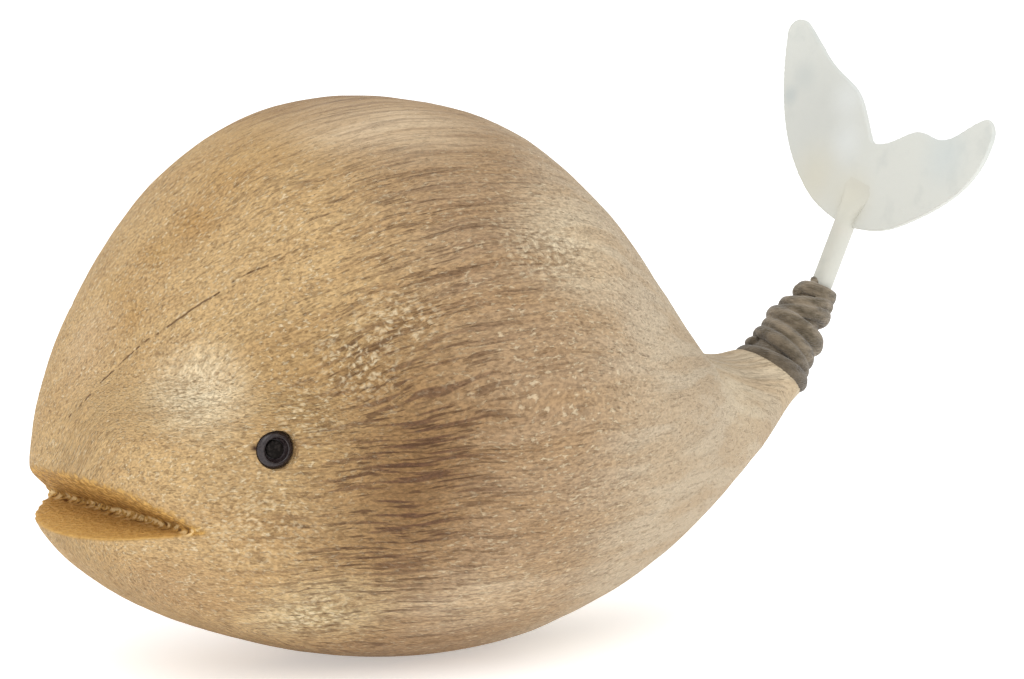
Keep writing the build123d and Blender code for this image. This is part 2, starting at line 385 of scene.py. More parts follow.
# Relief in millimetres: slow swells, dimples that deepen where the grain is torn, and furrows
# along the fibre. It dies out towards the stub and on the flat
body_points = read_points(body.data)
body_normals = read_points(body.data, "normal")
places = body_points / mm
layer_places = np.stack([
    places[:, 0],
    (places[:, 1] + places[:, 2]) / math.sqrt(2),
    (places[:, 2] - places[:, 1]) / math.sqrt(2),
], 1)
broad_swell = 0.25 * ripple(places, (16, 16, 16))
small_swell = 0.10 * ripple(places, (7, 6, 6))
dimples = ripple(layer_places, (2.6, 1.2, 1.5))
furrows = smoothstep(0.1, 0.6, ripple(layer_places, (13.0, 1.3, 2.2)))
furrow_depth = 0.09
torn = np.zeros(len(places))
for place, reach, strength in torn_zones:
    away = np.linalg.norm((places - np.array(place)) / np.array(reach), axis=1)
    torn = np.maximum(torn, strength * (1 - smoothstep(0.2, 1.0, away)))
dimple_depth = 0.03 + 0.20 * torn
depth = broad_swell + small_swell + dimples * dimple_depth - furrow_depth * furrows
tail_calm = 1 - smoothstep(84, 92, places[:, 0])
off_floor = smoothstep(0.3, 4.0, places[:, 2])
depth *= tail_calm * off_floor

# The file left torn tufts and pits along the bottom of the notch
tuft_height = 0.45
run = mouth_apex.x / mm - places[:, 0]
rise = places[:, 2] - mouth_apex.z / mm
in_notch = smoothstep(-1.0, 0.2, run) * (1 - smoothstep(1.2, 3.2, run))
in_notch *= 1 - smoothstep(0.8, 2.4, np.abs(rise))
depth += in_notch * tuft_height * ripple(places, (1.6, 1.3, 1.2))
write_points(body.data, body_points + body_normals * (depth * mm)[:, None])


def ring_of(centre, axis, radius, sides):
    """Corners of a circle round an axis."""
    turn = Vector(axis).to_track_quat("Z", "Y").to_matrix()
    angles = [2 * math.pi * side / sides for side in range(sides)]
    return [centre + turn @ Vector((math.cos(a), math.sin(a), 0)) * radius for a in angles]


def eye_frame(side_name):
    """Middle of an eye's bead and the way it faces, a little more to the side than the wood."""
    low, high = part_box(side_name + "_eye_bead")
    side = -1 if side_name == "left" else 1
    yaw = eye_yaw + bead_cant
    return (low + high) / 2 + Vector((bead_shift, 0, 0)), Vector((-math.sin(yaw), side * math.cos(yaw), 0))


for side_name in ("left", "right"):
    middle, outward = eye_frame(side_name)
    seat_floor = middle - outward * (bead_thickness / 2 + seat_clearance) + Vector((0, 0, seat_lift))
    corners = []
    for run in (0.0, drill_length):
        corners += ring_of(seat_floor + outward * run, outward, seat_diameter / 2, seat_sides)
    corners += [seat_floor, seat_floor + outward * drill_length]
    drill = new_piece("drill", corners, closed_tube_faces(2, seat_sides))
    cut(body, drill)
body.data.shade_smooth()


def new_group(name, inputs, outputs):
    """Shader node group with named sockets; gives its tree, its inputs and its output node."""
    group = bpy.data.node_groups.new(name, "ShaderNodeTree")
    for label, kind, value in inputs:
        socket = group.interface.new_socket(label, in_out="INPUT", socket_type=kind)
        if value is not None:
            socket.default_value = value
    for label, kind in outputs:
        group.interface.new_socket(label, in_out="OUTPUT", socket_type=kind)
    return group, group.nodes.new("NodeGroupInput").outputs, group.nodes.new("NodeGroupOutput")


def maths(tree, operation, first, second=0.0):
    """Result of a sum with two numbers."""
    return put(tree, "ShaderNodeMath", {"operation": operation}, {0: first, 1: second}).outputs[0]


def total(tree, first, *others):
    """All the numbers added up."""
    for other in others:
        first = maths(tree, "ADD", first, other)
    return first


def product(tree, first, *others):
    """All the numbers multiplied together."""
    for other in others:
        first = maths(tree, "MULTIPLY", first, other)
    return first


def on_base(tree, base, value, factor):
    """The base with a value times a factor on top of it."""
    return put(tree, "ShaderNodeMath", {"operation": "MULTIPLY_ADD"}, {
        0: value, 1: factor, 2: base,
    }).outputs[0]


def fade(tree, value, start, end):
    """Share that rises smoothly from 0 to 1 between a start and an end value."""
    return put(tree, "ShaderNodeMapRange", {"interpolation_type": "SMOOTHSTEP"}, {
        "Value": value, "From Min": start, "From Max": end,
    }).outputs[0]


def vectors(tree, operation, first, second):
    """Result of a sum with two vectors."""
    return put(tree, "ShaderNodeVectorMath", {"operation": operation}, {0: first, 1: second}).outputs[0]


def scaled(tree, vector, factor):
    """The vector, or the colour, times a factor."""
    return put(tree, "ShaderNodeVectorMath", {"operation": "SCALE"}, {
        0: vector, "Scale": factor,
    }).outputs[0]


def soft_noise(tree, vector, scale, detail, roughness=0.5):
    """Level of cloudy noise, from 0 to 1 and mostly about a half."""
    return put(tree, "ShaderNodeTexNoise", {}, {
        "Vector": vector, "Scale": scale, "Detail": detail, "Roughness": roughness,
    }).outputs["Fac"]


def blend_colour(tree, share, first, second):
    """The first colour with a share of the second in it."""
    return put(tree, "ShaderNodeMix", {"data_type": "RGBA"}, {
        "Factor": share, 6: first, 7: second,
    }).outputs[2]


def stain(tree, colour, mask, strength, shade):
    """Lays a shade over the colour where the mask is."""
    return blend_colour(tree, product(tree, mask, strength), colour, shade)


def in_millimetres(tree):
    """Place on the piece in millimetres."""
    return scaled(tree, tree.nodes.new("ShaderNodeTexCoord").outputs["Object"], 1 / mm)


def wavy(tree, vector, size, amount):
    """The same places, pushed about by large soft noise."""
    push = put(tree, "ShaderNodeTexNoise", {}, {"Vector": vector, "Scale": 1 / size, "Detail": 1.0})
    centred = vectors(tree, "SUBTRACT", push.outputs["Color"], (0.5, 0.5, 0.5))
    return vectors(tree, "ADD", vector, scaled(tree, centred, amount))


def use_group(tree, group, sockets):
    """Outputs of a node group in a material's tree."""
    return put(tree, "ShaderNodeGroup", {"node_tree": group}, sockets).outputs


# Streaks: noise drawn out along the fibre, cut to a mask between a low and a high level
streaks, inner, outer = new_group("streaks", [
    ("Vector", "NodeSocketVector", None),
    ("Along", "NodeSocketFloat", 10.0),
    ("Across", "NodeSocketFloat", 1.0),
    ("Layer", "NodeSocketFloat", 1.0),
    ("Low", "NodeSocketFloat", 0.5),
    ("High", "NodeSocketFloat", 0.7),
], [("Mask", "NodeSocketFloat"), ("Level", "NodeSocketFloat")])
lengths = put(streaks, "ShaderNodeCombineXYZ", {}, {
    "X": inner["Along"], "Y": inner["Across"], "Z": inner["Layer"],
})
drawn_out = vectors(streaks, "DIVIDE", inner["Vector"], lengths.outputs[0])
level = soft_noise(streaks, drawn_out, scale=1.0, detail=2.0)
streaks.links.new(fade(streaks, level, inner["Low"], inner["High"]), outer.inputs["Mask"])
streaks.links.new(level, outer.inputs["Level"])

# Soft spot: a mask that fades out from a place, over three half widths
soft_spot, inner, outer = new_group("soft_spot", [
    ("Vector", "NodeSocketVector", None),
    ("Place", "NodeSocketVector", (0, 0, 0)),
    ("Reach", "NodeSocketVector", (10, 10, 10)),
], [("Mask", "NodeSocketFloat")])
from_place = vectors(soft_spot, "SUBTRACT", inner["Vector"], inner["Place"])
in_reaches = vectors(soft_spot, "DIVIDE", from_place, inner["Reach"])
far = put(soft_spot, "ShaderNodeVectorMath", {"operation": "LENGTH"}, {0: in_reaches}).outputs["Value"]
soft_spot.links.new(fade(soft_spot, far, 1.0, 0.0), outer.inputs["Mask"])


def streaked(tree, vector, lengths, low, high):
    """Mask and level of streaks with lengths along and across the fibre and through the layers."""
    along, across, layer = lengths
    return use_group(tree, streaks, {
        "Vector": vector, "Along": along, "Across": across, "Layer": layer, "Low": low, "High": high,
    })


def spot_mask(tree, vector, place, reach):
    """Mask of a soft spot."""
    return use_group(tree, soft_spot, {"Vector": vector, "Place": place, "Reach": reach})["Mask"]


wood, tree, output = new_material("carved_wood")
plain = in_millimetres(tree)
flowing = wavy(tree, plain, size=22.0, amount=3.0)
plain_x, plain_y, plain_z = put(tree, "ShaderNodeSeparateXYZ", {}, {0: plain}).outputs
flow_x = put(tree, "ShaderNodeSeparateXYZ", {}, {0: flowing}).outputs["X"]

# The layers of the wood stand on edge in the back and lie nearly level low in the left flank
layer_pivot = (0, -48, 57)
back_layer_slope = math.pi / 4
flank_layer_turn = 0.68
low_flank = product(tree, fade(tree, plain_z, 64.0, 50.0), fade(tree, plain_y, 8.0, -16.0))
layer_turn = maths(tree, "SUBTRACT", product(tree, low_flank, -flank_layer_turn), back_layer_slope)
layered = put(tree, "ShaderNodeVectorRotate", {"rotation_type": "X_AXIS"}, {
    "Vector": flowing, "Center": layer_pivot, "Angle": layer_turn,
}).outputs[0]

# Ground colours: golden head, pinkish middle, pale greyish rear
colour = blend_colour(tree, fade(tree, flow_x, -14.0, -40.0), tint(157, 131, 101), tint(181, 151, 107))
colour = blend_colour(tree, fade(tree, flow_x, -2.0, 34.0), colour, tint(184, 167, 142))
left_eye = eye_frame("left")[0]
spots = [
    # place and reach in millimetres, colour, strength
    ((-46, -40, 56), (30, 30, 34), tint(160, 132, 90), 0.75),
    ((-46, -36, 66), (18, 20, 14), tint(152, 120, 76), 0.55),
    ((-65, 2, 77), (8, 10, 6), tint(166, 130, 78), 0.60),
    ((-59, -3, 84), (9, 10, 6), tint(166, 130, 78), 0.65),
    ((-52, -8, 90), (9, 11, 8), tint(164, 126, 74), 0.75),
    ((-43, -8, 97), (10, 11, 6), tint(168, 132, 82), 0.65),
    ((-34, -10, 102), (10, 11, 5), tint(172, 138, 90), 0.55),
    ((-42, -2, 98), (26, 30, 16), tint(176, 142, 94), 0.35),
    ((-66, -6, 73), (7, 6, 6), tint(168, 130, 76), 0.60),
    ((-66, 2, 50), (10, 26, 14), tint(182, 146, 94), 0.40),
    ((-62, -25, 60), (12, 17, 13), tint(220, 202, 168), 0.90),
    # painted light: lighter low on the belly, standing in for light thrown up from the floor, over the pale
    # torn grain there
    ((-37, -29, 16), (20, 28, 14), tint(214, 194, 152), 0.95),
    ((-62, -14, 22), (20, 24, 13), tint(162, 133, 97), 0.75),
    ((-46, -36, 38), (15, 16, 15), tint(156, 128, 90), 0.55),
    ((72, -20, 47), (22, 24, 22), tint(206, 190, 162), 0.60),
    ((-58, -30, 46), (12, 14, 12), tint(162, 134, 95), 0.75),
    # painted light: lighter low on the belly
    ((-8, -36, 18), (26, 26, 14), tint(206, 186, 156), 0.75),
    ((-14, -18, 107), (30, 26, 11), tint(212, 190, 158), 0.85),
    ((10, -42, 84), (22, 22, 18), tint(200, 184, 156), 0.85),
    ((-74, 6, 76), (12, 20, 24), tint(206, 182, 158), 0.60),
    ((96, 0, 50), (16, 18, 18), tint(218, 202, 172), 0.90),
    # painted shade round the seat of the left eye
    (tuple(left_eye / mm), (7, 7, 6), tint(140, 108, 66), 0.60),
]
for place, reach, shade, strength in spots:
    colour = stain(tree, colour, spot_mask(tree, flowing, place, reach), strength, shade)
figure = streaked(tree, layered, (50.0, 4.5, 12.0), low=0.42, high=0.62)["Mask"]
colour = stain(tree, colour, figure, 0.28, tint(158, 124, 82))

# Heartwood: a band of dark streaks across the middle that starts sharply behind the eyes,
# leans back towards the top and thins out towards the tail
heart_lean = 0.38
heart_lean_from = 50.0
heart_raggedness = 60.0
heart_middle = (-29, -47, 44)
heart_reach = (25, 60, 42)
above_middle = maths(tree, "MAXIMUM", maths(tree, "SUBTRACT", plain_z, heart_lean_from), 0.0)
from_heart = maths(tree, "SUBTRACT", flow_x, product(tree, above_middle, heart_lean))
ragged_front = streaked(tree, layered, (30.0, 1.6, 5.0), low=0.3, high=0.7)["Level"]
ragged_shift = product(tree, maths(tree, "SUBTRACT", ragged_front, 0.5), heart_raggedness)
from_heart = total(tree, from_heart, ragged_shift)
heart_band = product(tree, fade(tree, from_heart, -55.0, -45.0), fade(tree, from_heart, 8.0, -30.0))
heart_core = spot_mask(tree, flowing, heart_middle, heart_reach)
heart_weight = on_base(tree, 0.35, heart_core, 0.65)
heart = product(tree, heart_band, heart_weight)
broad_streaks = streaked(tree, layered, (30.0, 0.95, 5.0), low=0.50, high=0.60)["Mask"]
colour = stain(tree, colour, heart_band, 0.18, tint(144, 114, 78))
colour = stain(tree, colour, product(tree, heart_band, heart_core), 0.85, tint(114, 83, 50))
colour = stain(tree, colour, product(tree, heart, broad_streaks), 0.85, tint(84, 57, 42))

# Pores: long dark lines along the fibre, which show as dots on the end grain of the head
long_pores = streaked(tree, layered, (28.0, 0.72, 2.6), low=0.575, high=0.66)["Mask"]
short_pores = streaked(tree, layered, (3.2, 0.62, 0.9), low=0.56, high=0.68)["Mask"]
flecks = streaked(tree, layered, (1.6, 0.62, 0.8), low=0.56, high=0.70)["Mask"]
fuzz = streaked(tree, layered, (1.1, 0.42, 0.5), low=0.32, high=0.68)["Mask"]
# The long ones are darkest in the heartwood, end on the head and are few at the rear and on top
long_weight = on_base(tree, 0.34, heart, 0.55)
past_head = fade(tree, flow_x, -62.0, -40.0)
before_rear = on_base(tree, 0.25, fade(tree, flow_x, 8.0, -22.0), 0.75)
below_top = fade(tree, plain_z, 109.0, 94.0)
long_weight = product(tree, long_weight, past_head, before_rear, below_top)
busy_front = product(tree, fade(tree, flow_x, 60.0, 0.0), fade(tree, plain_z, 110.0, 92.0))
short_weight = on_base(tree, 0.10, busy_front, 0.28)
speckle = product(tree, maths(tree, "SUBTRACT", fuzz, 0.5), short_weight)
brightness = on_base(tree, 1.0, speckle, 1.1)
colour = scaled(tree, colour, brightness)
colour = stain(tree, colour, short_pores, short_weight, tint(104, 74, 42))
fleck_weight = product(tree, short_weight, maths(tree, "SUBTRACT", 1.0, heart))
colour = stain(tree, colour, flecks, fleck_weight, tint(240, 224, 190))
colour = stain(tree, colour, long_pores, long_weight, tint(84, 58, 38))

# Torn grain: rows of small raised scales, with a painted highlight on their crowns and painted shade in the
# gaps between them
scale_size = (2.0, 1.05, 1.2)
in_scales = vectors(tree, "DIVIDE", wavy(tree, layered, size=1.6, amount=2.4), scale_size)
scale_cells = put(tree, "ShaderNodeTexVoronoi", {"feature": "F1"}, {
    "Vector": in_scales, "Scale": 1.0, "Randomness": 0.9,
}).outputs["Distance"]
scale_crowns = fade(tree, scale_cells, 0.50, 0.15)
scale_gaps = fade(tree, scale_cells, 0.48, 0.75)
torn_here = 0.0
for place, reach, strength in torn_zones:
    spot = spot_mask(tree, flowing, place, reach)
    torn_here = maths(tree, "MAXIMUM", product(tree, spot, strength), torn_here)
# Painted highlight on the crowns of the scales, painted shade in the gaps
colour = stain(tree, colour, product(tree, scale_crowns, torn_here), 0.55, tint(238, 222, 188))
colour = stain(tree, colour, product(tree, scale_gaps, torn_here), 0.60, tint(112, 82, 48))

# One fine crack runs over the forehead along a layer, in dashes
crack_layer = 38.2
crack_wander = 2.4
layer_height = product(tree, total(tree, plain_y, plain_z), math.sqrt(0.5))
wander = soft_noise(tree, plain, scale=0.14, detail=5.0)
crack_height = on_base(tree, crack_layer, wander, crack_wander)
off_crack = maths(tree, "ABSOLUTE", maths(tree, "SUBTRACT", layer_height, crack_height))
dashes = soft_noise(tree, plain, scale=0.42, detail=2.0)
crack = product(
    tree, fade(tree, off_crack, 0.28, 0.08), fade(tree, dashes, 0.45, 0.56),
    fade(tree, plain_x, -38.0, -50.0), fade(tree, plain_z, 46.0, 52.0), fade(tree, plain_z, 92.0, 84.0),
)
colour = stain(tree, colour, crack, 0.80, tint(92, 62, 36))

# A small pit of torn fibre touches the left eye on the side of the nose. It is not cut into the wood: its
# shade is painted dark
eye_pit = left_eye + Vector((-0.0039, 0.0005, 0.0001))
eye_pit_reach = (1.6, 1.6, 1.0)
frayed = wavy(tree, plain, size=1.0, amount=0.6)
eye_pit_painted_shade = spot_mask(tree, frayed, tuple(eye_pit / mm), eye_pit_reach)
colour = stain(tree, colour, eye_pit_painted_shade, 1.0, tint(54, 32, 18))

# Inside of the mouth: filed across the fibre, so it is deep golden, rough and full of pits
mouth_run = maths(tree, "SUBTRACT", mouth_apex.x / mm, plain_x)
mouth_rise = maths(tree, "SUBTRACT", plain_z, mouth_apex.z / mm)
over_lip = maths(tree, "SUBTRACT", mouth_rise, product(tree, mouth_run, math.tan(mouth_upper_slope)))
over_jaw = total(tree, mouth_rise, product(tree, mouth_run, math.tan(mouth_lower_slope)))
mottle = soft_noise(tree, plain, scale=0.9, detail=4.0)
ragged = on_base(tree, 1.2, mottle, -2.4)
in_mouth = product(
    tree, fade(tree, total(tree, over_lip, ragged), 1.4, -0.2), fade(tree, over_jaw, -0.7, 0.0),
    fade(tree, mouth_run, -0.9, 0.3),
)
# The upper filed face looks down and is painted darker as its shade; the lower face keeps the golden end
# grain
above_apex = fade(tree, mouth_rise, -0.4, 0.4)
faces_with_painted_shade = blend_colour(tree, above_apex, tint(188, 144, 76), tint(138, 97, 28))
golden = blend_colour(tree, fade(tree, mottle, 0.40, 0.62), faces_with_painted_shade, tint(200, 156, 84))
colour = stain(tree, colour, in_mouth, 0.9, golden)
beside_apex = fade(tree, maths(tree, "ABSOLUTE", mouth_rise), 1.3, 0.3)
near_apex = product(tree, in_mouth, beside_apex, fade(tree, mouth_run, 4.0, 1.5))
tufts = soft_noise(tree, plain, scale=0.62, detail=2.0)
pale_tufts = product(tree, near_apex, fade(tree, tufts, 0.50, 0.60))
# The pits between the pale tufts get painted shade
shaded_pits = product(tree, near_apex, fade(tree, tufts, 0.44, 0.36))
colour = stain(tree, colour, pale_tufts, 0.8, tint(232, 204, 150))
colour = stain(tree, colour, shaded_pits, 0.9, tint(96, 62, 28))

# Relief of the wood: sunk pores, raised flecks and scales, an open crack, a rough mouth
pits = product(tree, total(tree, long_pores, short_pores), -0.6)
scale_relief = product(tree, maths(tree, "SUBTRACT", scale_crowns, scale_gaps), torn_here)
relief = total(
    tree, pits, product(tree, flecks, 0.6), product(tree, fuzz, 0.3), scale_relief,
    product(tree, crack, -1.5),
)
relief = product(tree, relief, maths(tree, "SUBTRACT", 1.0, in_mouth))
relief = total(tree, relief, product(tree, in_mouth, mottle, 3.0))
bump = put(tree, "ShaderNodeBump", {}, {"Height": relief, "Strength": 0.9, "Distance": 0.00025})
timber = put(tree, "ShaderNodeBsdfPrincipled", {}, {
    "Base Color": colour, "Roughness": 0.75, "Specular IOR Level": 0.2, "Normal": bump.outputs[0],
})
tree.links.new(timber.outputs["BSDF"], output.inputs["Surface"])
body.data.materials.append(wood)
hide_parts("body")
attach(body, "root")

# Eyes
# Black turned beads with a rounded rim and a recessed face, sunk in their seats. Each is held
# by a pin with a flat black head that lies in the recess.
bead_diameter = 0.0073
bead_foot_bevel = 0.0004
bead_rim_radius = 0.0011
recess_diameter = 0.0047
recess_lip_radius = 0.00025
recess_depth = 0.0014
recess_floor_diameter = 0.0036
recess_step_shares = (0.93, 0.45)  # of the recess's radius and depth, where its wall turns in
pin_head_diameter = 0.0034
pin_head_thickness = 0.0006
pin_head_gap = 0.00005
pin_rim_width = 0.0006
pin_rim_drop = 0.00022


def turned(name, profile, middle, axis, steps=96):
    """Piece turned on a lathe from a profile of radius and height, set on an axis."""
    corners = []
    for radius, height in profile:
        corners += ring_of(middle + axis * height, axis, radius, steps)
    last = (len(profile) - 1) * steps
    faces = tube_faces(len(profile), steps)
    faces.append(tuple(range(steps))[::-1])
    faces.append(tuple(range(last, last + steps)))
    piece = new_piece(name, corners, faces)
    for polygon in piece.data.polygons:
        polygon.use_smooth = len(polygon.vertices) == 4
    return piece


def quarter_turns(steps):
    """Angles of a quarter circle, from 0 to a right angle."""
    return [math.pi / 2 * i / steps for i in range(steps + 1)]


def bead_profile():
    """Side, rounded rim, lip and recess of a bead, as radius and height."""
    radius = bead_diameter / 2
    recess = recess_diameter / 2
    points = [(radius - bead_foot_bevel, 0.0), (radius, bead_foot_bevel)]
    for turn in quarter_turns(12):
        points.append((
            radius - bead_rim_radius * (1 - math.cos(turn)),
            bead_thickness - bead_rim_radius * (1 - math.sin(turn)),
        ))
    for turn in quarter_turns(6):
        points.append((
            recess + recess_lip_radius * (1 - math.sin(turn)),
            bead_thickness - recess_lip_radius * (1 - math.cos(turn)),
        ))
    radius_share, depth_share = recess_step_shares
    points.append((recess * radius_share, bead_thickness - recess_depth * depth_share))
    points.append((recess_floor_diameter / 2, bead_thickness - recess_depth))
    return points


def pin_profile():
    """Flat head of a pin with a rounded rim, as radius and height."""
    radius = pin_head_diameter / 2
    points = [(radius, pin_head_gap)]
    for turn in quarter_turns(8):
        points.append((
            radius - pin_rim_width * (1 - math.cos(turn)),
            pin_head_thickness - pin_rim_drop * (1 - math.sin(turn)),
        ))
    return points


def gloss_black(name, shade, roughness, gloss):
    """Black lacquer with faint scuffs."""
    material, tree, output = new_material(name)
    scuffs = streaked(tree, in_millimetres(tree), (0.5, 0.5, 0.5), low=0.45, high=0.75)["Mask"]
    colour = stain(tree, shade, scuffs, 0.20, tint(92, 84, 80))
    worn = on_base(tree, roughness, scuffs, 0.15)
    lacquer = put(tree, "ShaderNodeBsdfPrincipled", {}, {
        "Base Color": colour, "Roughness": worn, "Specular IOR Level": gloss,
    })
    tree.links.new(lacquer.outputs["BSDF"], output.inputs["Surface"])
    return material


bead_black = gloss_black("bead_black", tint(38, 30, 31), roughness=0.26, gloss=0.40)
pin_black = gloss_black("pin_black", tint(16, 12, 9), roughness=0.50, gloss=0.08)
for side_name in ("left", "right"):
    middle, outward = eye_frame(side_name)
    bead_floor = middle - outward * bead_thickness / 2 + Vector((0, 0, seat_lift))
    bead = turned(side_name + "_bead", bead_profile(), bead_floor, outward)
    bead.data.materials.append(bead_black)
    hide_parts(side_name + "_eye_bead")
    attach(bead, "root")
    head_floor = bead_floor + outward * (bead_thickness - recess_depth)
    pin = turned(side_name + "_pin", pin_profile(), head_floor, outward)
    pin.data.materials.append(pin_black)
    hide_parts(side_name + "_eye_pin")
    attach(pin, "root")

# Rod and fluke
# A bent metal rod carries a fluke cut by hand from sheet. The two are brazed together and
# brushed with the same thin matt white, which leaves soft edges and faint grey patches.
rod_bend_reach = 0.0084
rod_rise_height = 0.0242
rod_angle = math.radians(76.1)
rod_lean = math.radians(14.6)
tongue_length = 0.0098
tongue_thinning = 0.985
tongue_widening = 0.9
paint_voxel = 0.00022


def copy_of(node, name):
    """New piece with the form of a node."""
    piece = bpy.data.objects.new(name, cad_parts[node].data.copy())
    bpy.context.scene.collection.objects.link(piece)
    return piece


rod_axis = Vector((
    math.cos(rod_angle),
    -math.sin(rod_angle) * math.sin(rod_lean),
    math.sin(rod_angle) * math.cos(rod_lean),
))
sheet_across = Vector((0, -math.cos(rod_lean), -math.sin(rod_lean)))
sheet_front = sheet_across.cross(rod_axis)
fluke_foot = neck_tip + stub_axis * rod_bend_reach + rod_axis * (rod_rise_height - tongue_length)


def melt_tongue(mesh):
    """Hammers the half-round end of the rod out so that it dies away into the sheet."""
    points = read_points(mesh)
    from_foot = (points - np.array(fluke_foot)) / mm
    along = from_foot @ np.array(rod_axis)
    forward = from_foot @ np.array(sheet_front)
    sideways = from_foot @ np.array(sheet_across)
    thinner = -tongue_thinning * smoothstep(1.0, 9.0, along) * forward
    wider = tongue_widening * smoothstep(0.0, 9.5, along) * sideways
    moved = np.outer(thinner, np.array(sheet_front)) + np.outer(wider, np.array(sheet_across))
    write_points(mesh, points + moved * mm)


# Whitewash: thin paint with cloudy patches, and its brush marks
whitewash, inner, outer = new_group("whitewash", [
    ("Vector", "NodeSocketVector", None),
    ("Paint", "NodeSocketColor", (1, 1, 1, 1)),
    ("Patch", "NodeSocketColor", (1, 1, 1, 1)),
    ("Cover", "NodeSocketFloat", 0.5),
], [("Colour", "NodeSocketColor"), ("Roughness", "NodeSocketFloat"), ("Height", "NodeSocketFloat")])
cloud = soft_noise(whitewash, inner["Vector"], scale=0.16, detail=3.0, roughness=0.55)
brushed = soft_noise(whitewash, inner["Vector"], scale=0.9, detail=4.0, roughness=0.6)
covered = product(whitewash, fade(whitewash, cloud, 0.50, 0.74), inner["Cover"])
washed = blend_colour(whitewash, covered, inner["Paint"], inner["Patch"])
whitewash.links.new(washed, outer.inputs["Colour"])
whitewash.links.new(on_base(whitewash, 0.42, brushed, 0.25), outer.inputs["Roughness"])
whitewash.links.new(brushed, outer.inputs["Height"])


def on_sheet(out, rise):
    """Place on the sheet in millimetres, from its foot outwards to the left and upwards."""
    return tuple((fluke_foot + sheet_across * out * mm + rod_axis * rise * mm) / mm)


paint_marks_and_painted_light = [
    # place, reach, colour and strength of: painted shade on the far lobe, a painted reflection of the wood
    # low on it, creamy paint over the tongue, painted highlights along the middle, grey marks and a pinkish
    # mark at the foot
    # painted shade: the far lobe darker, as it faces away from the lamp
    (on_sheet(-18, 18), (24, 24, 24), tint(192, 194, 189), 0.90),
    # painted reflection of the wood, low on the far lobe
    (on_sheet(-13, 6), (11, 11, 11), tint(200, 196, 178), 0.60),
    (on_sheet(-1, 6), (9, 9, 9), tint(201, 199, 185), 0.85),
    # painted highlight along the middle of the sheet, here and in the next row
    (on_sheet(-8, 16), (7, 7, 7), tint(214, 218, 218), 0.45),
    (on_sheet(-12, 24), (7, 7, 7), tint(214, 218, 218), 0.40),
    (on_sheet(-28, 19), (3.5, 3.5, 3.5), tint(160, 170, 172), 0.60),
    (on_sheet(-26, 24), (5, 5, 5), tint(178, 184, 182), 0.50),
    (on_sheet(21, 23), (10, 10, 10), tint(190, 198, 198), 0.60),
    (on_sheet(0, -1), (3, 3, 3), tint(214, 194, 182), 0.40),
]


def paint_material(name, paint, patch, cover):
    """Whitewash with its marks, painted shade, a painted reflection of the wood and painted highlights on
    it.
    """
    material, tree, output = new_material(name)
    on_piece = in_millimetres(tree)
    washed = use_group(tree, whitewash, {
        "Vector": on_piece, "Paint": paint, "Patch": patch, "Cover": cover,
    })
    colour = washed["Colour"]
    for place, reach, shade, strength in paint_marks_and_painted_light:
        colour = stain(tree, colour, spot_mask(tree, on_piece, place, reach), strength, shade)
    bump = put(tree, "ShaderNodeBump", {}, {
        "Height": washed["Height"], "Strength": 0.5, "Distance": 0.00012,
    })
    coat = put(tree, "ShaderNodeBsdfPrincipled", {}, {
        "Base Color": colour, "Roughness": washed["Roughness"],
        "Specular IOR Level": 0.4, "Normal": bump.outputs[0],
    })
    tree.links.new(coat.outputs["BSDF"], output.inputs["Surface"])
    return material


for node, name, slot_name, paint, patch, cover in (
    ("tail_rod", "painted_rod", "rod_paint", tint(195, 195, 186), tint(172, 175, 170), 0.4),
    ("tail_fluke", "painted_fluke", "fluke_paint", tint(203, 205, 199), tint(186, 190, 186), 0.5),
):
    piece = copy_of(node, name)
    reskin(piece, paint_voxel)
    sand(piece.data, rounds=4)
    if node == "tail_rod":
        melt_tongue(piece.data)
    piece.data.shade_smooth()
    piece.data.materials.clear()
    piece.data.materials.append(paint_material(slot_name, paint, patch, cover))
    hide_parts(node)
    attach(piece, "root")

# Binding
# One long piece of thick grey-brown felted wool cord, wound tightly from the shoulder of the
# stub up onto the rod. Later turns cross the first ones, and the turns press into each other.
felt_voxel = 0.00018
binding_profile = [
    # height above the stub's root along the stub, outer radius of the winding there
    (0.0000, 0.0079),
    (0.0017, 0.0083),
    (0.0032, 0.0075),
    (0.0080, 0.0067),
    (0.0110, 0.0059),
    (0.0140, 0.0060),
    (0.0170, 0.0050),
    (0.0200, 0.0042),
    (0.0220, 0.0034),
]
strands = [
    # width of the cord, number of turns, part of a turn where it starts, heights of its start and
    # end, how deep it sinks into the winding, how far its turns lean, thickness as share of width
    (0.0030, 1.10, 0.55, 0.0006, 0.0011, 0.0000, 0.0007, 0.85),
    (0.0027, 3.00, 0.55, 0.0029, 0.0107, 0.0000, -0.0006, 0.85),
    (0.0028, 0.80, -0.02, 0.0098, 0.0120, -0.0009, 0.0000, 0.80),
    (0.0025, 2.30, 0.50, 0.0122, 0.0176, 0.0000, 0.0026, 0.85),
    (0.0027, 1.15, 0.50, 0.0194, 0.0201, -0.0001, 0.0008, 0.70),
    (0.0018, 0.10, 0.43, 0.0212, 0.0222, 0.0000, 0.0000, 1.00),
]
lean_turn = 0.094  # part of a turn where a leaning turn is highest
strand_swelling = 1.10  # the soft cord is wider than its share, so that the turns press together
strand_unevenness = 0.12
uneven_pace = 0.07  # how fast the width wanders from one ring of the strand to the next
seed_step = 3.7  # keeps the wandering of one strand apart from that of the next
ply_count = 3
ply_depth = 0.05
ply_twist = 0.22
end_share = 0.6  # share of its width that a strand has at its ends
end_growth = 0.1  # and what each ring adds to it, up to the full width
core_inset = 0.0019
core_start = 0.0002
core_length = 0.0205
core_rows = 12
core_sides = 32
fibre_slant = 0.45


def outer_radius(height):
    """Outer radius of the winding at a height above the stub's root."""
    heights, radii = zip(*binding_profile)
    return float(np.interp(height, heights, radii))


